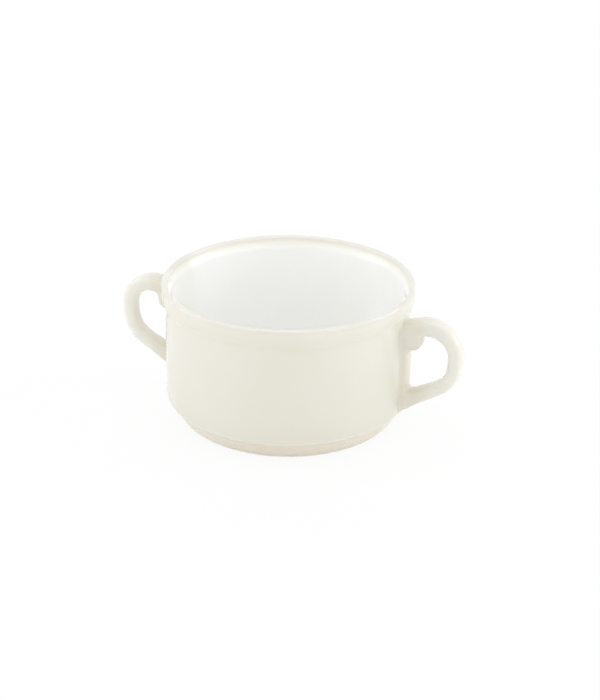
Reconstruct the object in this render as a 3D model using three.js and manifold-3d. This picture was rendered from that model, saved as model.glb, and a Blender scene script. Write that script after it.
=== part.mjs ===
// A two-handled bouillon cup in pressed opal glass: a straight-sided bowl with a banded rim and a
// rounded stacking foot, and two ear handles, each a separate piece of glass fused to the bowl's wall
// by a strap that runs from its upper root to its lower one.
// Millimetres, +Z up. The origin is the centre of the foot ring's resting face, the handles lie along X.
import * as THREE from "three";
import { mergeVertices } from "three/addons/utils/BufferGeometryUtils.js";
import Module from "manifold-3d";

const wasm = await Module();
wasm.setup();

// Bowl, outside
const RIM_DIAMETER = 105; // over the band, the widest part of the bowl
const CUP_HEIGHT = 60;
const BAND_HEIGHT = 7.8; // from the top of the lip to the middle of the slope under the band
const BAND_STEP = 1.3; // how far the band stands out from the wall
const BAND_SLANT = 1.2; // half the height that the slope would take if it kept its steepest lean
const BAND_ROUNDING = 2.6; // height of the rounded upper half of the slope
const COVE_HEIGHT = 4.6; // height of the hollow lower half, which leads out from the wall
const SHOULDER_INSET = 3.6; // from the wall in to the top of the foot
const SHOULDER_HEIGHT = 2.9; // of the rounded corner at the bottom of the wall
const GROOVE_RADIUS = 0.6; // in the corner between the shoulder and the foot
const FOOT_HEIGHT = 8.3;
const FOOT_ROUNDING = 6.4; // how far the foot's side rounds in, from its top to the flat face
const FOOT_RING_WIDTH = 3.4; // of the flat face that the cup stands on
const FOOT_RING_FALL = 1.6; // width of the curve from the flat face up to the recess
const BASE_RECESS = 1.3; // depth of the hollow under the base

// Bowl, inside
const WALL_THICKNESS = 2.6;
const LIP_THICKNESS = 2.4;
const FLARE_DROP = 1.5; // from the top of the lip down to where the inside starts to narrow
const FLARE_HEIGHT = 4.5; // over which it narrows from the lip to the wall
const BASE_THICKNESS = 3.7;
const INNER_CORNER_RADIUS = 12.5;

// Ear handles
const HANDLE_REACH = 25; // from the wall to the outermost point
const CROWN_RADIUS = 11.4; // of the centre line over the top of the ear
const UPPER_ARM_RISE = 20; // degrees above level, where the upper arm leaves the wall
const UPPER_ROOT_DROP = 6.1; // from the slope under the band to the upper arm's centre line at the wall
const LOWER_ARM_RISE = 34; // degrees above level, where the lower arm leaves the wall
const LOWER_ROOT_RISE = 5.9; // from the top of the foot to the lower arm's centre line at the wall
const UPPER_ROOT = { thickness: 7.7, width: 9.6 };
const CROWN = { thickness: 6.7, width: 7.8 };
const GRIP = { thickness: 6.1, width: 6.6 };
const LOWER_ARM = { thickness: 5.7, width: 7.4 };
const LOWER_ROOT = { thickness: 6.6, width: 8.8 };
const SIDE_LEAN = 0.66; // share of its fall and of its reach over which the ear's side holds its direction
const SCROLL_DIAMETER = 8; // the curled end under the upper arm
const SCROLL_WIDTH = 8.4;
const SCROLL_DROP = 3.6; // from the upper arm's centre line at the wall to the scroll's centre
const SCROLL_SEAT = 0.1; // how far the scroll is sunk into the wall
const STRAP_WIDTH = 8; // of the strap along the wall between the roots
const STRAP_TOP = 2.5; // how far the strap stands out from the wall under the scroll
const STRAP_BOTTOM = 2.1; // how far it stands out above the lower root
const STRAP_FLARE = 5.4; // how far it stands out where it runs into the arms
const STRAP_FLARE_LENGTH = 7.8; // of each flared end
const ROOT_FILLET = 0.7; // how much each side of a root swells out where it meets the wall
const ROOT_FILLET_LENGTH = 3; // along the arm, over which a root swells
const ROOT_DEPTH = 4; // how far an arm runs on past the wall's surface before it is trimmed
const SECTION_POWER = 3; // 2 is an ellipse, and more is squarer
const JOINT_GAP = 0.3; // between a handle's root and the wall that it is fused to

// Facets
const BOWL_SEGMENTS = 64;
const CURVE_STEPS = 4;
const HANDLE_STATIONS = 48;
const STRAP_STATIONS = 18;
const SECTION_SIDES = 16;
const SCROLL_STEPS = 10;
const WELD_DISTANCE = 1e-4;

const rimRadius = RIM_DIAMETER / 2;
const wallRadius = rimRadius - BAND_STEP;
const footTopRadius = wallRadius - SHOULDER_INSET;
const flatRadius = footTopRadius - FOOT_ROUNDING;
const bandBottom = CUP_HEIGHT - BAND_HEIGHT;
const upperRootHeight = bandBottom - UPPER_ROOT_DROP;
const lowerRootHeight = FOOT_HEIGHT + LOWER_ROOT_RISE;

const glass = new THREE.MeshStandardMaterial({ color: 0xece9dc, roughness: 0.1, metalness: 0 });

// A closed mesh as a solid. Facets that have shrunk to nothing, as on a lathe's axis, are left out.
function solidOf(geometry) {
  const bare = geometry.clone();
  bare.deleteAttribute("normal");
  bare.deleteAttribute("uv");
  const welded = mergeVertices(bare, WELD_DISTANCE);
  const corners = welded.index.array;
  const kept = [];
  for (let i = 0; i < corners.length; i += 3) {
    const [a, b, c] = corners.slice(i, i + 3);
    if (a !== b && b !== c && c !== a) kept.push(a, b, c);
  }
  return new wasm.Manifold(
    new wasm.Mesh({
      numProp: 3,
      vertProperties: welded.attributes.position.array,
      triVerts: new Uint32Array(kept),
    }),
  );
}

function geometryOf(solid) {
  const { vertProperties, triVerts } = solid.getMesh();
  const geometry = new THREE.BufferGeometry();
  geometry.setAttribute("position", new THREE.BufferAttribute(vertProperties, 3));
  geometry.setIndex(new THREE.BufferAttribute(triVerts, 1));
  geometry.computeVertexNormals();
  return geometry;
}

// A profile of (radius, height) points, turned about Z.
function revolve(profile) {
  return new THREE.LatheGeometry(profile, BOWL_SEGMENTS).rotateX(Math.PI / 2);
}

// The outside of the bowl, from the middle of the underside up to the top of the lip.
function outerPath() {
  const ringInner = flatRadius - FOOT_RING_WIDTH;
  const footSide = FOOT_HEIGHT - GROOVE_RADIUS;
  const lipRadius = LIP_THICKNESS / 2;
  const path = new THREE.Path();
  path.moveTo(0, BASE_RECESS);
  path.lineTo(ringInner - FOOT_RING_FALL, BASE_RECESS);
  path.bezierCurveTo(
    ringInner - FOOT_RING_FALL / 2, BASE_RECESS,
    ringInner - FOOT_RING_FALL / 2, 0,
    ringInner, 0,
  );
  path.lineTo(flatRadius, 0);
  path.absellipse(flatRadius, footSide, FOOT_ROUNDING, footSide, -Math.PI / 2, 0);
  path.quadraticCurveTo(footTopRadius, FOOT_HEIGHT, footTopRadius + GROOVE_RADIUS, FOOT_HEIGHT);
  path.absellipse(
    footTopRadius + GROOVE_RADIUS, FOOT_HEIGHT + SHOULDER_HEIGHT,
    SHOULDER_INSET - GROOVE_RADIUS, SHOULDER_HEIGHT,
    -Math.PI / 2, 0,
  );
  path.lineTo(wallRadius, bandBottom - COVE_HEIGHT);
  path.quadraticCurveTo(
    wallRadius, bandBottom - BAND_SLANT,
    (wallRadius + rimRadius) / 2, bandBottom,
  );
  path.quadraticCurveTo(
    rimRadius, bandBottom + BAND_SLANT,
    rimRadius, bandBottom + BAND_ROUNDING,
  );
  path.lineTo(rimRadius, CUP_HEIGHT - lipRadius);
  path.absarc(rimRadius - lipRadius, CUP_HEIGHT - lipRadius, lipRadius, 0, Math.PI / 2);
  return path;
}

// The inside of the bowl, from the top of the lip down to the middle of the floor.
function innerPath() {
  const lipRadius = LIP_THICKNESS / 2;
  const lipInner = rimRadius - LIP_THICKNESS;
  const innerRadius = wallRadius - WALL_THICKNESS;
  const flareTop = CUP_HEIGHT - FLARE_DROP;
  const floor = BASE_RECESS + BASE_THICKNESS;
  const path = new THREE.Path();
  path.moveTo(rimRadius - lipRadius, CUP_HEIGHT);
  path.absarc(rimRadius - lipRadius, CUP_HEIGHT - lipRadius, lipRadius, Math.PI / 2, Math.PI);
  path.lineTo(lipInner, flareTop);
  path.bezierCurveTo(
    lipInner, flareTop - FLARE_HEIGHT / 2,
    innerRadius, flareTop - FLARE_HEIGHT / 2,
    innerRadius, flareTop - FLARE_HEIGHT,
  );
  path.lineTo(innerRadius, floor + INNER_CORNER_RADIUS);
  path.absarc(
    innerRadius - INNER_CORNER_RADIUS, floor + INNER_CORNER_RADIUS,
    INNER_CORNER_RADIUS, 0, -Math.PI / 2, true,
  );
  path.lineTo(0, floor);
  return path;
}

function bowlSolid() {
  const profile = [...outerPath().getPoints(CURVE_STEPS), ...innerPath().getPoints(CURVE_STEPS).slice(1)];
  return solidOf(revolve(profile));
}

// The space that the bowl fills, cavity and all, grown by the joint's gap: what a handle is trimmed with.
function bowlClearance() {
  const outline = outerPath().getPoints(CURVE_STEPS).filter((point) => point.x > 0);
  const grown = outline.map((point, i) => {
    const before = outline[Math.max(i - 1, 0)];
    const after = outline[Math.min(i + 1, outline.length - 1)];
    const along = after.clone().sub(before).normalize();
    return new THREE.Vector2(point.x + along.y * JOINT_GAP, point.y - along.x * JOINT_GAP);
  });
  const bottom = new THREE.Vector2(0, grown[0].y);
  const top = new THREE.Vector2(0, grown[grown.length - 1].y);
  return solidOf(revolve([bottom, ...grown, top]));
}

// The centre line of an ear handle, as (distance from the cup's axis, height).
function handlePath() {
  const upperRise = THREE.MathUtils.degToRad(UPPER_ARM_RISE);
  const lowerRise = THREE.MathUtils.degToRad(LOWER_ARM_RISE);
  const outermost = wallRadius + HANDLE_REACH - GRIP.thickness / 2;
  const crownX = outermost - CROWN_RADIUS;
  const crownStart = Math.PI / 2 + upperRise;
  const armRun = crownX + CROWN_RADIUS * Math.cos(crownStart) - wallRadius;
  const armEnd = upperRootHeight + armRun * Math.tan(upperRise);
  const crownHeight = armEnd - CROWN_RADIUS * Math.sin(crownStart);
  const fall = crownHeight - lowerRootHeight;
  const reach = outermost - wallRadius;
  const path = new THREE.Path();
  path.moveTo(
    wallRadius - ROOT_DEPTH * Math.cos(upperRise),
    upperRootHeight - ROOT_DEPTH * Math.sin(upperRise),
  );
  path.lineTo(wallRadius + armRun, armEnd);
  path.absarc(crownX, crownHeight, CROWN_RADIUS, crownStart, 0, true);
  path.bezierCurveTo(
    outermost, crownHeight - SIDE_LEAN * fall,
    wallRadius + SIDE_LEAN * reach, lowerRootHeight + SIDE_LEAN * reach * Math.tan(lowerRise),
    wallRadius, lowerRootHeight,
  );
  path.lineTo(
    wallRadius - ROOT_DEPTH * Math.cos(lowerRise),
    lowerRootHeight - ROOT_DEPTH * Math.sin(lowerRise),
  );
  return path;
}

// A superellipse's share of its half size, from the sine or cosine of the angle round it.
function squared(share) {
  return Math.sign(share) * Math.abs(share) ** (2 / SECTION_POWER);
}

// What a root gains across both its sides, a given distance from the wall, like the fillet of a fused joint.
function rootSwell(distance) {
  const share = THREE.MathUtils.clamp(1 - distance / ROOT_FILLET_LENGTH, 0, 1);
  return 2 * ROOT_FILLET * share ** 2;
}

// A bar's section a given length along its centre line, eased from one station to the next.
function sectionAt(length, stations) {
  const next = Math.max(1, stations.findIndex((station) => station.at >= length));
  const from = stations[next - 1];
  const to = stations[next];
  const share = THREE.MathUtils.smoothstep(length, from.at, to.at);
  return {
    thickness: THREE.MathUtils.lerp(from.size.thickness, to.size.thickness, share),
    width: THREE.MathUtils.lerp(from.size.width, to.size.width, share),
  };
}

// A bar: sections strung along a centre line, closed by a fan at each end.
// swellAt gives what a section gains at a length along the line.
function barAlong(path, stations, count, swellAt) {
  const pathEnd = path.getLength();
  const points = [];
  const corners = [];
  for (let i = 0; i <= count; i += 1) {
    const share = i / count;
    const centre = path.getPoint(share);
    const along = path.getTangent(share);
    const { thickness, width } = sectionAt(share * pathEnd, stations);
    const swell = swellAt(share * pathEnd);
    for (let j = 0; j < SECTION_SIDES; j += 1) {
      const turn = (2 * Math.PI * j) / SECTION_SIDES;
      const out = ((thickness + swell) / 2) * squared(Math.cos(turn));
      const side = ((width + swell) / 2) * squared(Math.sin(turn));
      points.push(centre.x - along.y * out, side, centre.y + along.x * out);
    }
  }
  for (let i = 0; i < count; i += 1) {
    for (let j = 0; j < SECTION_SIDES; j += 1) {
      const here = i * SECTION_SIDES + j;
      const beside = i * SECTION_SIDES + ((j + 1) % SECTION_SIDES);
      corners.push(here, beside + SECTION_SIDES, beside);
      corners.push(here, here + SECTION_SIDES, beside + SECTION_SIDES);
    }
  }
  const last = count * SECTION_SIDES;
  for (let j = 1; j < SECTION_SIDES - 1; j += 1) {
    corners.push(0, j, j + 1);
    corners.push(last, last + j + 1, last + j);
  }
  const geometry = new THREE.BufferGeometry();
  geometry.setAttribute("position", new THREE.Float32BufferAttribute(points, 3));
  geometry.setIndex(corners);
  return geometry;
}

// The ear itself, from its upper root round to its lower one.
function handleBar() {
  const path = handlePath();
  const [armEnd, crownEnd, sideEnd, pathEnd] = path.getCurveLengths();
  const stations = [
    { at: 0, size: UPPER_ROOT },
    { at: ROOT_DEPTH, size: UPPER_ROOT },
    { at: (armEnd + crownEnd) / 2, size: CROWN },
    { at: crownEnd, size: GRIP },
    { at: (crownEnd + sideEnd) / 2, size: LOWER_ARM },
    { at: sideEnd, size: LOWER_ROOT },
    { at: pathEnd, size: LOWER_ROOT },
  ];
  const swellAt = (length) => rootSwell(Math.min(length - ROOT_DEPTH, sideEnd - length));
  return barAlong(path, stations, HANDLE_STATIONS, swellAt);
}

// The strap along the wall, which flares out into the arms at both ends.
function handleStrap() {
  const path = new THREE.Path();
  path.moveTo(wallRadius, upperRootHeight);
  path.lineTo(wallRadius, lowerRootHeight);
  const pathEnd = upperRootHeight - lowerRootHeight;
  const standing = (depth) => ({ thickness: 2 * depth, width: STRAP_WIDTH });
  const stations = [
    { at: 0, size: standing(STRAP_FLARE) },
    { at: STRAP_FLARE_LENGTH, size: standing(STRAP_TOP) },
    { at: pathEnd - STRAP_FLARE_LENGTH, size: standing(STRAP_BOTTOM) },
    { at: pathEnd, size: standing(STRAP_FLARE) },
  ];
  return barAlong(path, stations, STRAP_STATIONS, () => 0);
}

// The curled end under the upper arm: a bead with rounded faces, its axis across the handle.
function handleScroll() {
  const profile = [];
  for (let i = 0; i <= SCROLL_STEPS; i += 1) {
    const turn = Math.PI * (i / SCROLL_STEPS - 1 / 2);
    const out = (SCROLL_DIAMETER / 2) * squared(Math.cos(turn));
    profile.push(new THREE.Vector2(out, (SCROLL_WIDTH / 2) * squared(Math.sin(turn))));
  }
  const centre = wallRadius - SCROLL_SEAT + SCROLL_DIAMETER / 2;
  return new THREE.LatheGeometry(profile, SECTION_SIDES).translate(centre, 0, upperRootHeight - SCROLL_DROP);
}

function handleSolid() {
  const ear = solidOf(handleBar()).add(solidOf(handleStrap())).add(solidOf(handleScroll()));
  return ear.subtract(bowlClearance());
}

function piece(name, geometry) {
  const mesh = new THREE.Mesh(geometry, glass.clone());
  mesh.name = name;
  return mesh;
}

const bowl = piece("bowl", geometryOf(bowlSolid()));
const handle = geometryOf(handleSolid());
const rightHandle = piece("right_handle", handle);
const leftHandle = piece("left_handle", handle);
leftHandle.rotation.z = Math.PI;

const cup = new THREE.Group();
cup.name = "bouillon_cup";
cup.add(bowl, rightHandle, leftHandle);
export default cup;
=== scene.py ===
"""Bouillon cup in ivory opal glass: a turned bowl and two ear handles, in plain studio light."""
import math

import bpy
import numpy as np
from mathutils import Matrix, Vector


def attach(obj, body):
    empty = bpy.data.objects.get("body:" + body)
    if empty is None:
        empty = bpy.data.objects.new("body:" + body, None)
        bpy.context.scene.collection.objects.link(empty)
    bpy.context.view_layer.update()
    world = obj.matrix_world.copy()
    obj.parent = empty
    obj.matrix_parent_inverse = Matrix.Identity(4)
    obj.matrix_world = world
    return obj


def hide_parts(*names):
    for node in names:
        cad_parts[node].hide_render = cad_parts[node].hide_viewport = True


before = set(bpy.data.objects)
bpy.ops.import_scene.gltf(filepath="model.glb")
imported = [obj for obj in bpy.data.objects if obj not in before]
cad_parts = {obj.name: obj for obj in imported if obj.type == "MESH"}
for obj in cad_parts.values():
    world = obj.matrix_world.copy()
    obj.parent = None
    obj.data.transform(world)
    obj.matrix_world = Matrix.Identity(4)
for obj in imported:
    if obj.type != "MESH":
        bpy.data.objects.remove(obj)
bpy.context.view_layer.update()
MM = 0.001

# Bowl, in millimetres, as in the solids
RIM_RADIUS = 52.5
CUP_HEIGHT = 60.0
BAND_HEIGHT = 7.8
WALL_RADIUS = 51.2
BAND_ROUNDING = 2.6
BAND_SLANT = 1.2
COVE_HEIGHT = 4.6
FOOT_TOP_RADIUS = 47.6
SHOULDER_HEIGHT = 2.9
GROOVE_RADIUS = 0.6
FOOT_HEIGHT = 8.3
FLAT_RADIUS = 41.2
FOOT_RING_WIDTH = 3.4
FOOT_RING_FALL = 1.6
BASE_RECESS = 1.3
WALL_THICKNESS = 2.6
LIP_THICKNESS = 2.4
FLARE_DROP = 1.5
FLARE_HEIGHT = 4.5
BASE_THICKNESS = 3.7
INNER_CORNER_RADIUS = 12.5
BOWL_SEGMENTS = 256

# Ear handles, in millimetres, as in the solids
HANDLE_REACH = 25.0
CROWN_RADIUS = 11.4
UPPER_ARM_RISE = math.radians(20)
UPPER_ROOT_HEIGHT = 46.1
LOWER_ARM_RISE = math.radians(34)
LOWER_ROOT_HEIGHT = 14.2
SIDE_LEAN = 0.66
ROOT_DEPTH = 4.0
# thickness and width at the upper root, the crown, the grip, the lower arm and the lower root
SECTIONS = ((7.7, 9.6), (6.7, 7.8), (6.1, 6.6), (5.7, 7.4), (6.6, 8.8))
SECTION_POWER = 3.0
SCROLL_RADIUS = 4.0
SCROLL_HALF_WIDTH = 4.2
SCROLL_X = WALL_RADIUS + 3.9
SCROLL_Z = 42.5
# the strap along the wall, from root to root: half its width, and how far it stands out at two heights
STRAP_HALF_WIDTH = 4.0
STRAP_DEPTHS = (2.1, 2.5)
STRAP_HEIGHTS = (22.0, 38.0)
# how the pressed glass runs together: the scroll and the strap with the arms, and the roots with the wall
SCROLL_BLEND = 3.0
STRAP_BLEND = 3.4
ROOT_BLEND = 1.5
# a root goes a little way into the wall, and its rounding thins out just under the wall's surface
ROOT_SINK = 0.25
SKIN = 0.02
EDGE_DIP = 0.12
# where that rounding starts to dip, how far the dip grows, and where it ends, in shares of ROOT_BLEND
EDGE_START = 0.4
EDGE_GROWTH = 0.5
EDGE_END = 0.9

# The handles' mesh: the pitch of its grid, the box it lies in, and how its points are evened out
GRID = 0.42
BOX_LOW = (FOOT_TOP_RADIUS - 3.0, -10.5, 2.0)
BOX_HIGH = (WALL_RADIUS + HANDLE_REACH + 1.5, 10.5, 58.0)
LINE_SAMPLES = 420
CHUNK = 20000
EVENING_ROUNDS = 3
EVENING_SHARE = 0.5
RETURN_STEPS = 3
SLOPE_STEP = 0.02
LEAST_SLOPE_SQUARED = 0.05

# Opal glass, lengths in millimetres. Light spreads inside it, but less near a joint, where painted light
# brightens the outside instead.
GLASS_IOR = 1.5
SCATTER_BY_COLOUR = (1.0, 0.95, 0.88)
BOWL_SCATTER = 6.0
HANDLE_SCATTER = 2.0
BOWL_MILK = 0.8
HANDLE_MILK = 0.5
JOINT_X = (48.0, 43.0)
JOINT_Y = (6.0, 12.0)
JOINT_RADIUS = (54.0, 62.0)
# painted light: the outside colour is lifted near the handle joints, standing in for light the joints keep
# from the wall
JOINT_PAINTED_LIGHT = (1.11, 1.11, 1.09)
# painted light: the inside is whiter than the outside, and runs into it over the lip
INSIDE_PAINTED_LIGHT = (0.98, 0.985, 0.96)
INSIDE_FACING = (-0.3, 0.7)
LIP_Z = (53.5, 60.5)
# the bowl's outside from the foot to the lip, warmer at the foot as painted warm shade and darker at the lip
# as painted shade, and the handle from the wall to the side of its crown, darker and warmer towards its roots
# as painted shade
OUTSIDE_TINTS_AND_PAINTED_SHADE = (
    (0.0, (0.815, 0.765, 0.668)),
    (0.11, (0.815, 0.772, 0.685)),
    (0.19, (0.775, 0.761, 0.693)),
    (0.955, (0.778, 0.766, 0.7)),
    (1.0, (0.722, 0.704, 0.655)),
)
# painted shade: the handle is darker and warmer near its roots
HANDLE_TINTS_AND_PAINTED_SHADE = (
    (0.0, (0.832, 0.797, 0.69)),
    (0.22, (0.822, 0.793, 0.695)),
    (0.6, (0.855, 0.843, 0.78)),
    (1.0, (0.9, 0.883, 0.814)),
)
# faint clouds in the glass, an uneven polish, and ripples from the press
CLOUD = {"Scale": 26, "Detail": 4, "Distortion": 0.6}
CLOUD_SPAN = (0.35, 0.75)
CLOUD_TINT = (0.985, 0.98, 0.965)
POLISH = {"Scale": 160, "Detail": 3}
POLISH_SPAN = (0.3, 0.7)
ROUGHNESS = (0.07, 0.14)
RIPPLE = {"Scale": 55, "Detail": 1.5}
RIPPLE_STRENGTH = 0.25
RIPPLE_DEPTH = 0.4

# Camera, from the fit to the photo's rim and foot: degrees, metres, and pixels of the photo
TARGET = Vector((0, 0, 0.03))
CAMERA_AZIMUTH = 21.75
CAMERA_ELEVATION = 24.6
CAMERA_ROLL = 0.42
CAMERA_DISTANCE = 0.72
CAMERA_CLIP = 0.01
FOCAL_PIXELS = 1713.3
FRAME_WIDTH = 600
FRAME_HEIGHT = 700
CENTRE_X = 288.13
CENTRE_Y = 345.74
SENSOR = 36.0

# Room: the world's light, and a pale floor that fades to white away from the cup, in metres
ROOM_LIGHT = 0.55
FLOOR_HALF = 3.0
FLOOR_PAPER = 0.97
FLOOR_GLOW = 0.9
FLOOR_FADE = (0.35, 1.2)
# the floor lies this many millimetres under the foot, so that the two don't share a plane
FLOOR_DROP = 0.05
LAMP_DISTANCE = 1.2
# azimuth, elevation, size in metres, watts, and whether the glass mirrors the lamp
LAMPS = {
    "right_softbox": (74, 30, (0.9, 0.9), 1.6, True),
    "left_softbox": (-33, 30, (0.9, 0.9), 1.75, True),
    "right_panel": (117, 18, (0.65, 0.65), 3.2, True),
    "left_panel": (-73, 18, (0.65, 0.65), 2.4, True),
    "backdrop_panel": (202, 23, (2.4, 1.0), 5.0, False),
    "rear_softbox": (202, 60, (0.8, 0.8), 0.9, False),
    "top_softbox": (22, 86, (0.8, 0.8), 2.4, True),
    "front_strip": (34, 11, (0.09, 0.3), 0.8, True),
}

# Shader nodes: their spacing in the editor, and the sockets of a Mix node for colours
NODE_SPACING = 200
MIX_SHARE, MIX_FIRST, MIX_SECOND, MIX_RESULT = 0, 6, 7, 2


def line(start, end, steps):
    share = np.linspace(0, 1, steps + 1)[1:, None]
    return np.asarray(start) * (1 - share) + np.asarray(end) * share


def ellipse(centre, radii, start, end, steps):
    turn = np.radians(np.linspace(start, end, steps + 1))[1:]
    return np.stack([centre[0] + radii[0] * np.cos(turn), centre[1] + radii[1] * np.sin(turn)], 1)


def bezier(points, steps):
    share = np.linspace(0, 1, steps + 1)[1:, None]
    layer = [np.asarray(point, float) for point in points]
    while len(layer) > 1:
        layer = [a * (1 - share) + b * share for a, b in zip(layer, layer[1:])]
    return layer[0]


def outer_profile():
    """The outside of the bowl as (radius, height), from the middle of the underside to the top of the lip."""
    ring_inner = FLAT_RADIUS - FOOT_RING_WIDTH
    fall_start = ring_inner - FOOT_RING_FALL
    fall_middle = ring_inner - FOOT_RING_FALL / 2
    foot_side = FOOT_HEIGHT - GROOVE_RADIUS
    shoulder = FOOT_TOP_RADIUS + GROOVE_RADIUS
    wall_bottom = FOOT_HEIGHT + SHOULDER_HEIGHT
    band_bottom = CUP_HEIGHT - BAND_HEIGHT
    band_middle = (WALL_RADIUS + RIM_RADIUS) / 2
    band_side = band_bottom + BAND_ROUNDING
    cove_bottom = band_bottom - COVE_HEIGHT
    lip = LIP_THICKNESS / 2
    fall = ((fall_start, BASE_RECESS), (fall_middle, BASE_RECESS), (fall_middle, 0), (ring_inner, 0))
    foot_radii = (FOOT_TOP_RADIUS - FLAT_RADIUS, foot_side)
    groove = ((FOOT_TOP_RADIUS, foot_side), (FOOT_TOP_RADIUS, FOOT_HEIGHT), (shoulder, FOOT_HEIGHT))
    shoulder_radii = (WALL_RADIUS - shoulder, SHOULDER_HEIGHT)
    cove = ((WALL_RADIUS, cove_bottom), (WALL_RADIUS, band_bottom - BAND_SLANT), (band_middle, band_bottom))
    band = ((band_middle, band_bottom), (RIM_RADIUS, band_bottom + BAND_SLANT), (RIM_RADIUS, band_side))
    stretches = [
        np.array([[0.0, BASE_RECESS]]),
        line((0, BASE_RECESS), (fall_start, BASE_RECESS), steps=10),
        bezier(fall, steps=8),
        line((ring_inner, 0), (FLAT_RADIUS, 0), steps=4),
        ellipse((FLAT_RADIUS, foot_side), foot_radii, -90, 0, steps=20),
        bezier(groove, steps=6),
        ellipse((shoulder, wall_bottom), shoulder_radii, -90, 0, steps=16),
        line((WALL_RADIUS, wall_bottom), (WALL_RADIUS, cove_bottom), steps=12),
        bezier(cove, steps=12),
        bezier(band, steps=10),
        line((RIM_RADIUS, band_side), (RIM_RADIUS, CUP_HEIGHT - lip), steps=6),
        ellipse((RIM_RADIUS - lip, CUP_HEIGHT - lip), (lip, lip), 0, 90, steps=10),
    ]
    return np.vstack(stretches)


def inner_profile():
    """The inside of the bowl, from the top of the lip down to the middle of the floor."""
    lip = LIP_THICKNESS / 2
    lip_inner = RIM_RADIUS - LIP_THICKNESS
    inner = WALL_RADIUS - WALL_THICKNESS
    flare_top = CUP_HEIGHT - FLARE_DROP
    flare_middle = flare_top - FLARE_HEIGHT / 2
    flare_bottom = flare_top - FLARE_HEIGHT
    floor = BASE_RECESS + BASE_THICKNESS
    corner = (inner - INNER_CORNER_RADIUS, floor + INNER_CORNER_RADIUS)
    flare = ((lip_inner, flare_top), (lip_inner, flare_middle), (inner, flare_middle), (inner, flare_bottom))
    stretches = [
        ellipse((RIM_RADIUS - lip, CUP_HEIGHT - lip), (lip, lip), 90, 180, steps=10),
        line((lip_inner, CUP_HEIGHT - lip), (lip_inner, flare_top), steps=5),
        bezier(flare, steps=14),
        line((inner, flare_bottom), (inner, corner[1]), steps=12),
        ellipse(corner, (INNER_CORNER_RADIUS, INNER_CORNER_RADIUS), 0, -90, steps=20),
        line((corner[0], floor), (0, floor), steps=10),
    ]
    return np.vstack(stretches)


def add_piece(name, points, faces):
    """A smooth mesh object from points in millimetres."""
    mesh = bpy.data.meshes.new(name)
    mesh.from_pydata((np.asarray(points) * MM).tolist(), [], faces)
    mesh.validate()
    mesh.polygons.foreach_set("use_smooth", [True] * len(mesh.polygons))
    mesh.update()
    piece = bpy.data.objects.new(name, mesh)
    bpy.context.scene.collection.objects.link(piece)
    return piece


def make_bowl():
    """The profile turned about Z, closed by a fan of triangles under the foot and one on the floor inside."""
    profile = np.vstack([outer_profile(), inner_profile()])
    ring = profile[1:-1]
    turn = np.linspace(0, 2 * np.pi, BOWL_SEGMENTS, endpoint=False)
    points = [(0, 0, profile[0, 1]), (0, 0, profile[-1, 1])]
    for radius, height in ring:
        points.extend(zip(radius * np.cos(turn), radius * np.sin(turn), np.full(BOWL_SEGMENTS, height)))
    faces = []
    last = 2 + (len(ring) - 1) * BOWL_SEGMENTS
    for j in range(BOWL_SEGMENTS):
        beside = (j + 1) % BOWL_SEGMENTS
        faces.append((0, 2 + beside, 2 + j))
        faces.append((1, last + j, last + beside))
        for i in range(len(ring) - 1):
            low = 2 + i * BOWL_SEGMENTS
            high = low + BOWL_SEGMENTS
            faces.append((low + j, low + beside, high + beside, high + j))
    return add_piece("bowl_opal", points, faces)


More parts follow.
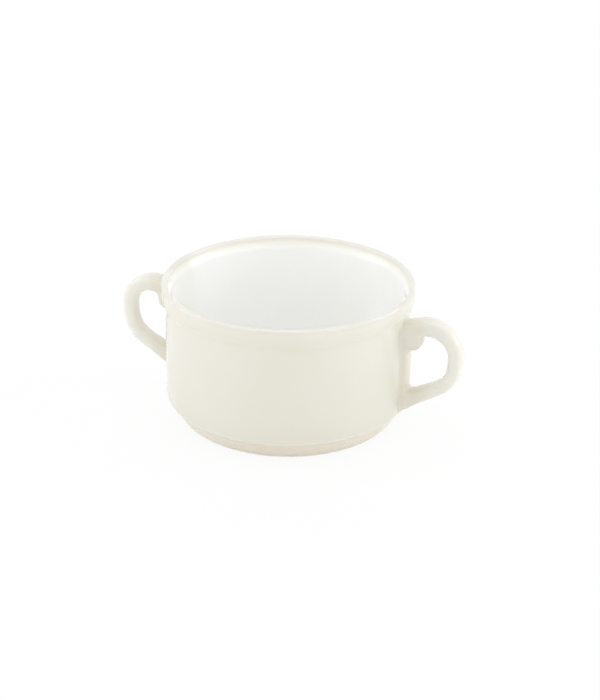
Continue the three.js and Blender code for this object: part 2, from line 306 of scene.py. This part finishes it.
def centre_line():
    """Points and directions along the ear in its plane, with half its thickness and half its width there."""
    outermost = WALL_RADIUS + HANDLE_REACH - SECTIONS[2][0] / 2
    crown_x = outermost - CROWN_RADIUS
    crown_start = math.pi / 2 + UPPER_ARM_RISE
    arm_run = crown_x + CROWN_RADIUS * math.cos(crown_start) - WALL_RADIUS
    arm_end = UPPER_ROOT_HEIGHT + arm_run * math.tan(UPPER_ARM_RISE)
    crown_z = arm_end - CROWN_RADIUS * math.sin(crown_start)
    fall = SIDE_LEAN * (crown_z - LOWER_ROOT_HEIGHT)
    reach = SIDE_LEAN * (outermost - WALL_RADIUS)
    upper = np.array([math.cos(UPPER_ARM_RISE), math.sin(UPPER_ARM_RISE)])
    lower = np.array([math.cos(LOWER_ARM_RISE), math.sin(LOWER_ARM_RISE)])
    upper_root = np.array([WALL_RADIUS, UPPER_ROOT_HEIGHT])
    lower_root = np.array([WALL_RADIUS, LOWER_ROOT_HEIGHT])
    arm_tip = np.array([WALL_RADIUS + arm_run, arm_end])
    side = (
        (outermost, crown_z),
        (outermost, crown_z - fall),
        (WALL_RADIUS + reach, LOWER_ROOT_HEIGHT + reach * math.tan(LOWER_ARM_RISE)),
        lower_root,
    )
    stretches = [
        np.array([upper_root - ROOT_DEPTH * upper]),
        line(upper_root - ROOT_DEPTH * upper, arm_tip, steps=40),
        ellipse((crown_x, crown_z), (CROWN_RADIUS, CROWN_RADIUS), math.degrees(crown_start), 0, steps=160),
        bezier(side, steps=240),
        line(lower_root, lower_root - ROOT_DEPTH * lower, steps=20),
    ]
    ends = np.cumsum([len(stretch) for stretch in stretches]) - 1
    path = np.vstack(stretches)
    length = np.append(0, np.cumsum(np.linalg.norm(np.diff(path, axis=0), axis=1)))
    arm_at, crown_at, side_at, end_at = length[ends[1:]]
    stations = (0, ROOT_DEPTH, (arm_at + crown_at) / 2, crown_at, (crown_at + side_at) / 2, side_at, end_at)
    order = (0, 0, 1, 2, 3, 4, 4)  # which of SECTIONS each station has
    along = np.linspace(0, end_at, LINE_SAMPLES)
    points = np.stack([np.interp(along, length, path[:, 0]), np.interp(along, length, path[:, 1])], 1)
    heading = np.gradient(points, axis=0)
    heading /= np.linalg.norm(heading, axis=1)[:, None]
    step = np.clip(np.searchsorted(stations, along), 1, len(stations) - 1)
    before = np.take(stations, step - 1)
    share = (along - before) / (np.take(stations, step) - before)
    share = share**2 * (3 - 2 * share)
    half_sizes = []
    for k in range(2):
        sizes = np.array([SECTIONS[i][k] / 2 for i in order])
        half_sizes.append(sizes[step - 1] * (1 - share) + sizes[step] * share)
    return points, heading, half_sizes[0], half_sizes[1]


def superellipse_distance(across, aside, half_across, half_aside):
    """About how far a point is outside a superellipse, along the line to its centre."""
    reach = np.hypot(across, aside) + 1e-9
    share = (np.abs(across) / half_across) ** SECTION_POWER + (np.abs(aside) / half_aside) ** SECTION_POWER
    return reach * (1 - np.maximum(share, 1e-12) ** (-1 / SECTION_POWER))


def smooth_min(a, b, width):
    overlap = np.maximum(width - np.abs(a - b), 0) / width
    return np.minimum(a, b) - overlap**2 * width / 4


class EarField:
    """Signed distance, in millimetres, to the handle on +X with its scroll, strap and blended roots."""

    def __init__(self):
        self.points, self.heading, self.half_thickness, self.half_width = centre_line()
        profile = outer_profile()
        self.wall = profile[profile[:, 0] >= FLAT_RADIUS - 1e-6]

    def bar(self, p):
        plane = p[:, [0, 2]]
        near = np.empty(len(p), int)
        for start in range(0, len(p), CHUNK):
            part = plane[start : start + CHUNK]
            gaps = (part[:, None, 0] - self.points[:, 0]) ** 2 + (part[:, None, 1] - self.points[:, 1]) ** 2
            near[start : start + CHUNK] = gaps.argmin(1)
        away = plane - self.points[near]
        heading = self.heading[near]
        across = away[:, 1] * heading[:, 0] - away[:, 0] * heading[:, 1]
        return superellipse_distance(across, p[:, 1], self.half_thickness[near], self.half_width[near])

    def scroll(self, p):
        radius = np.hypot(p[:, 0] - SCROLL_X, p[:, 2] - SCROLL_Z)
        return superellipse_distance(radius, p[:, 1], SCROLL_RADIUS, SCROLL_HALF_WIDTH)

    def strap(self, p):
        depth = np.interp(p[:, 2], STRAP_HEIGHTS, STRAP_DEPTHS)
        beside = superellipse_distance(p[:, 0] - WALL_RADIUS, p[:, 1], depth, STRAP_HALF_WIDTH)
        return np.maximum(beside, np.maximum(LOWER_ROOT_HEIGHT - p[:, 2], p[:, 2] - UPPER_ROOT_HEIGHT))

    def wall_distance(self, p):
        radius = np.hypot(p[:, 0], p[:, 1])
        spot = np.stack([radius, p[:, 2]], 1)
        best = np.full(len(p), np.inf)
        for a, b in zip(self.wall, self.wall[1:]):
            edge = b - a
            share = np.clip(((spot - a) @ edge) / max(edge @ edge, 1e-12), 0, 1)
            gap = spot - a - share[:, None] * edge
            best = np.minimum(best, (gap**2).sum(1))
        outside = radius > np.interp(p[:, 2], self.wall[:, 1], self.wall[:, 0])
        return np.sqrt(best) * np.where(outside, 1, -1)

    def __call__(self, p):
        ear = smooth_min(self.bar(p), self.strap(p), STRAP_BLEND)
        ear = smooth_min(ear, self.scroll(p), SCROLL_BLEND)
        edge = np.clip(ear / ROOT_BLEND - EDGE_START, 0, EDGE_GROWTH)
        wall = self.wall_distance(p) + SKIN + EDGE_DIP * edge
        joined = smooth_min(ear, wall, ROOT_BLEND)
        return np.maximum(np.maximum(joined, -wall - ROOT_SINK), ear - EDGE_END * ROOT_BLEND)

    def slope(self, p):
        parts = []
        for axis in np.eye(3) * SLOPE_STEP:
            parts.append((self(p + axis) - self(p - axis)) / (2 * SLOPE_STEP))
        return np.stack(parts, 1)


def surface_net(field, low, high, pitch):
    """Points and four-sided faces on the zero surface of a field inside a box."""
    counts = np.ceil((np.asarray(high) - low) / pitch).astype(int) + 1
    axes = [low[k] + pitch * np.arange(counts[k]) for k in range(3)]
    grid = np.stack(np.meshgrid(*axes, indexing="ij"), -1)
    value = field(grid.reshape(-1, 3)).reshape(counts)
    inside = value < 0
    cell = tuple(counts - 1)
    total = np.zeros(cell + (3,))
    hits = np.zeros(cell, int)
    corners = [(i, j, k) for i in (0, 1) for j in (0, 1) for k in (0, 1)]
    for a in corners:
        for axis in range(3):
            if a[axis]:
                continue
            b = tuple(a[k] + (k == axis) for k in range(3))
            at_a = tuple(slice(a[k], a[k] + cell[k]) for k in range(3))
            at_b = tuple(slice(b[k], b[k] + cell[k]) for k in range(3))
            crossing = inside[at_a] != inside[at_b]
            share = value[at_a] / np.where(crossing, value[at_a] - value[at_b], 1)
            spot = grid[at_a] + (grid[at_b] - grid[at_a]) * share[..., None]
            total += np.where(crossing[..., None], spot, 0)
            hits += crossing
    used = hits > 0
    number = np.full(cell, -1)
    number[used] = np.arange(used.sum())
    points = total[used] / hits[used][:, None]
    faces = []
    for axis in range(3):
        one, two = [k for k in range(3) if k != axis]
        low_end = [slice(None)] * 3
        high_end = [slice(None)] * 3
        low_end[axis], high_end[axis] = slice(0, -1), slice(1, None)
        changed = np.argwhere(inside[tuple(low_end)] != inside[tuple(high_end)])
        for spot in changed:
            quad = []
            for d_one, d_two in ((-1, -1), (0, -1), (0, 0), (-1, 0)):
                at = spot.copy()
                at[one] += d_one
                at[two] += d_two
                quad.append(int(number[tuple(at)]))
            starts_inside = inside[tuple(spot)]
            forward = starts_inside if axis != 1 else not starts_inside
            faces.append(tuple(quad) if forward else tuple(quad[::-1]))
    return points, faces


def settle(field, points, faces):
    """Evens out the points' spacing and brings each back onto the field's surface."""
    quads = np.array(faces)
    links = np.vstack([quads[:, [k, (k + 1) % 4]] for k in range(4)])
    degree = np.bincount(links.ravel(), minlength=len(points))[:, None]
    for turn in range(EVENING_ROUNDS + 1):
        if turn:
            sums = np.zeros_like(points)
            np.add.at(sums, links[:, 0], points[links[:, 1]])
            np.add.at(sums, links[:, 1], points[links[:, 0]])
            points = points * (1 - EVENING_SHARE) + EVENING_SHARE * sums / degree
        for _ in range(RETURN_STEPS):
            slope = field.slope(points)
            size = np.maximum((slope**2).sum(1), LEAST_SLOPE_SQUARED)
            points = points - slope * (field(points) / size)[:, None]
    return points


def make_handles():
    field = EarField()
    points, faces = surface_net(field, BOX_LOW, BOX_HIGH, GRID)
    points = settle(field, points, faces)
    right = add_piece("right_handle_opal", points, faces)
    left = add_piece("left_handle_opal", points * np.array([-1, -1, 1]), faces)
    return right, left


def in_metres(span):
    return tuple(value * MM for value in span)


def add_node(tree, kind, **values):
    """A shader node with its settings, and with its sockets set by name."""
    made = tree.nodes.new(kind)
    made.location.x = NODE_SPACING * len(tree.nodes)
    for key, value in values.items():
        if key in made.inputs:
            made.inputs[key].default_value = value
        else:
            setattr(made, key, value)
    return made


def math_node(tree, operation, *sources, kind="ShaderNodeMath", output="Value"):
    """A math node whose inputs are linked, or set where a source is a plain tuple."""
    made = add_node(tree, kind, operation=operation)
    for socket, source in zip(made.inputs, sources):
        if isinstance(source, tuple):
            socket.default_value = source
        else:
            tree.links.new(source, socket)
    return made.outputs[output]


def vector_node(tree, operation, *sources, output="Vector"):
    return math_node(tree, operation, *sources, kind="ShaderNodeVectorMath", output=output)


def axes_of(tree, vector):
    made = add_node(tree, "ShaderNodeSeparateXYZ")
    tree.links.new(vector, made.inputs["Vector"])
    return made.outputs


def map_range(tree, source, from_span, to_span=(0, 1), kind="SMOOTHSTEP"):
    made = add_node(tree, "ShaderNodeMapRange", interpolation_type=kind)
    made.inputs["From Min"].default_value, made.inputs["From Max"].default_value = from_span
    made.inputs["To Min"].default_value, made.inputs["To Max"].default_value = to_span
    tree.links.new(source, made.inputs["Value"])
    return made.outputs["Result"]


def tint_ramp(tree, source, stops):
    """A colour ramp from (position, colour) pairs."""
    made = add_node(tree, "ShaderNodeValToRGB")
    made.color_ramp.interpolation = "EASE"
    while len(made.color_ramp.elements) < len(stops):
        made.color_ramp.elements.new(0.5)
    for element, (position, colour) in zip(made.color_ramp.elements, stops):
        element.position = position
        element.color = (*colour, 1)
    tree.links.new(source, made.inputs["Fac"])
    return made.outputs["Color"]


def noise(tree, source, settings):
    made = add_node(tree, "ShaderNodeTexNoise", **settings)
    tree.links.new(source, made.inputs["Vector"])
    return made.outputs["Fac"]


def blend_colours(tree, first, second, share, way="MIX"):
    """Mixes a plain colour into a linked one, or multiplies the linked one by it."""
    made = add_node(tree, "ShaderNodeMix", data_type="RGBA", blend_type=way)
    tree.links.new(first, made.inputs[MIX_FIRST])
    made.inputs[MIX_SECOND].default_value = (*second, 1)
    tree.links.new(share, made.inputs[MIX_SHARE])
    return made.outputs[MIX_RESULT]


def bowl_colour(tree, spot, flat, normal):
    """The bowl's tint and milkiness: by height outside, with painted warm shade at the foot and painted shade
    on the lip, painted light that makes the inside whiter and lifts the outside near the handles, and less
    milky near the handles.
    """
    at = axes_of(tree, spot)
    facing = vector_node(tree, "DOT_PRODUCT", vector_node(tree, "NORMALIZE", flat), normal, output="Value")
    inward = math_node(tree, "SUBTRACT", axes_of(tree, normal)["Z"], facing)
    below_lip = map_range(tree, at["Z"], in_metres(LIP_Z), (1, 0))
    inside = math_node(tree, "MULTIPLY", map_range(tree, inward, INSIDE_FACING), below_lip)
    height = map_range(tree, at["Z"], (0, CUP_HEIGHT * MM), kind="LINEAR")
    # painted shade: the outside is warmer at the foot and darker on the lip
    outside = tint_ramp(tree, height, OUTSIDE_TINTS_AND_PAINTED_SHADE)
    clear_x = map_range(tree, math_node(tree, "ABSOLUTE", at["X"]), in_metres(JOINT_X))
    clear_y = map_range(tree, math_node(tree, "ABSOLUTE", at["Y"]), in_metres(JOINT_Y))
    clear = math_node(tree, "MAXIMUM", clear_x, clear_y)
    # painted light: near the joints the outside colour is multiplied up
    joint_painted_light_share = map_range(tree, clear, (0, 1), (1, 0), kind="LINEAR")
    outside = blend_colours(tree, outside, JOINT_PAINTED_LIGHT, joint_painted_light_share, "MULTIPLY")
    # painted light: faces turned inwards get the whiter inside colour
    tint = blend_colours(tree, outside, INSIDE_PAINTED_LIGHT, inside)
    return tint, map_range(tree, clear, (0, 1), (0, BOWL_MILK))


def handle_colour(tree, flat):
    """The handle's tint and milkiness, by how far a point is from the cup's axis, with painted warm shade
    towards the roots.
    """
    reach = vector_node(tree, "LENGTH", flat, output="Value")
    span = in_metres((WALL_RADIUS, WALL_RADIUS + HANDLE_REACH))
    # painted shade: darker and warmer towards the wall
    tint = tint_ramp(tree, map_range(tree, reach, span, kind="LINEAR"), HANDLE_TINTS_AND_PAINTED_SHADE)
    return tint, map_range(tree, reach, in_metres(JOINT_RADIUS), (0, HANDLE_MILK))


def opal_glass(name, is_bowl):
    """Polished opal glass: milky, with painted warm shade and painted light in its tints, faint clouds and
    ripples from the press.
    """
    material = bpy.data.materials.new(name)
    material.use_nodes = True
    tree = material.node_tree
    sockets = tree.nodes["Principled BSDF"].inputs
    sockets["IOR"].default_value = GLASS_IOR
    sockets["Subsurface Radius"].default_value = SCATTER_BY_COLOUR
    sockets["Subsurface Scale"].default_value = (BOWL_SCATTER if is_bowl else HANDLE_SCATTER) * MM
    place = add_node(tree, "ShaderNodeTexCoord").outputs
    spot = place["Object"]
    flat = vector_node(tree, "MULTIPLY", spot, (1, 1, 0))
    if is_bowl:
        tint, milkiness = bowl_colour(tree, spot, flat, place["Normal"])
    else:
        tint, milkiness = handle_colour(tree, flat)
    cloud = map_range(tree, noise(tree, spot, CLOUD), CLOUD_SPAN)
    polish = map_range(tree, noise(tree, spot, POLISH), POLISH_SPAN, ROUGHNESS)
    ripple = add_node(tree, "ShaderNodeBump", Strength=RIPPLE_STRENGTH, Distance=RIPPLE_DEPTH * MM)
    tree.links.new(noise(tree, spot, RIPPLE), ripple.inputs["Height"])
    tree.links.new(blend_colours(tree, tint, CLOUD_TINT, cloud, "MULTIPLY"), sockets["Base Color"])
    tree.links.new(milkiness, sockets["Subsurface Weight"])
    tree.links.new(polish, sockets["Roughness"])
    tree.links.new(ripple.outputs["Normal"], sockets["Normal"])
    return material


def dress(piece, node, material):
    piece.data.materials.append(material)
    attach(piece, "root")
    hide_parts(node)


def stand(holder, azimuth, elevation, distance, roll=0.0):
    """Puts a camera or a lamp in the scene, turned to the cup. Azimuth 0 is in front of it, towards -Y."""
    bpy.context.scene.collection.objects.link(holder)
    azimuth, elevation = math.radians(azimuth), math.radians(elevation)
    level = math.cos(elevation)
    back = Vector((math.sin(azimuth) * level, -math.cos(azimuth) * level, math.sin(elevation)))
    turn = back.to_track_quat("Z", "Y").to_matrix().to_4x4() @ Matrix.Rotation(math.radians(roll), 4, "Z")
    holder.matrix_world = Matrix.Translation(TARGET + distance * back) @ turn


def make_camera():
    lens = bpy.data.cameras.new("photo_camera")
    lens.sensor_fit = "VERTICAL"
    lens.sensor_height = SENSOR
    lens.sensor_width = SENSOR
    lens.lens = SENSOR * FOCAL_PIXELS / FRAME_HEIGHT
    lens.shift_x = (FRAME_WIDTH / 2 - CENTRE_X) / FRAME_HEIGHT
    lens.shift_y = (CENTRE_Y - FRAME_HEIGHT / 2) / FRAME_HEIGHT
    lens.clip_start = CAMERA_CLIP
    camera = bpy.data.objects.new("photo_camera", lens)
    stand(camera, CAMERA_AZIMUTH, CAMERA_ELEVATION, CAMERA_DISTANCE, CAMERA_ROLL)
    bpy.context.scene.camera = camera


def make_lamps():
    for name, (azimuth, elevation, size, power, mirrored) in LAMPS.items():
        lamp = bpy.data.lights.new(name, "AREA")
        lamp.shape = "RECTANGLE"
        lamp.size, lamp.size_y = size
        lamp.energy = power
        holder = bpy.data.objects.new(name, lamp)
        holder.visible_glossy = mirrored
        stand(holder, azimuth, elevation, LAMP_DISTANCE)


def seen_directly(tree):
    """A factor of 1 for what the camera sees, also in a gloss or through glass."""
    path = add_node(tree, "ShaderNodeLightPath").outputs
    seen = math_node(tree, "MAXIMUM", path["Is Camera Ray"], path["Is Glossy Ray"])
    return math_node(tree, "MAXIMUM", seen, path["Is Transmission Ray"])


def make_room():
    world = bpy.data.worlds.new("studio")
    bpy.context.scene.world = world
    world.use_nodes = True
    tree = world.node_tree
    background = tree.nodes["Background"]
    background.inputs["Color"].default_value = (1, 1, 1, 1)
    strength = map_range(tree, seen_directly(tree), (0, 1), (ROOM_LIGHT, 1), kind="LINEAR")
    tree.links.new(strength, background.inputs["Strength"])


def make_floor():
    z = -FLOOR_DROP * MM
    corners = [(x * FLOOR_HALF, y * FLOOR_HALF, z) for x, y in ((-1, -1), (1, -1), (1, 1), (-1, 1))]
    mesh = bpy.data.meshes.new("floor")
    mesh.from_pydata(corners, [], [(0, 1, 2, 3)])
    floor = bpy.data.objects.new("floor", mesh)
    bpy.context.scene.collection.objects.link(floor)
    material = bpy.data.materials.new("pale_floor")
    material.use_nodes = True
    tree = material.node_tree
    tree.nodes.remove(tree.nodes["Principled BSDF"])
    paper = add_node(tree, "ShaderNodeBsdfDiffuse", Color=(FLOOR_PAPER, FLOOR_PAPER, FLOOR_PAPER, 1))
    glow = add_node(tree, "ShaderNodeEmission", Strength=1)
    spot = add_node(tree, "ShaderNodeTexCoord").outputs["Object"]
    away = vector_node(tree, "LENGTH", spot, output="Value")
    fade = map_range(tree, away, FLOOR_FADE, (FLOOR_GLOW, 1))
    both = add_node(tree, "ShaderNodeMixShader")
    tree.links.new(math_node(tree, "MULTIPLY", seen_directly(tree), fade), both.inputs[0])
    tree.links.new(paper.outputs[0], both.inputs[1])
    tree.links.new(glow.outputs[0], both.inputs[2])
    tree.links.new(both.outputs[0], tree.nodes["Material Output"].inputs["Surface"])
    mesh.materials.append(material)


make_camera()
make_room()
make_floor()
make_lamps()

bowl_glass = opal_glass("bowl_opal_glass", is_bowl=True)
handle_glass = opal_glass("handle_opal_glass", is_bowl=False)
bowl = make_bowl()
right_handle, left_handle = make_handles()
dress(bowl, "bowl", bowl_glass)
dress(right_handle, "right_handle", handle_glass)
dress(left_handle, "left_handle", handle_glass)

bpy.context.scene.view_settings.view_transform = "Standard"
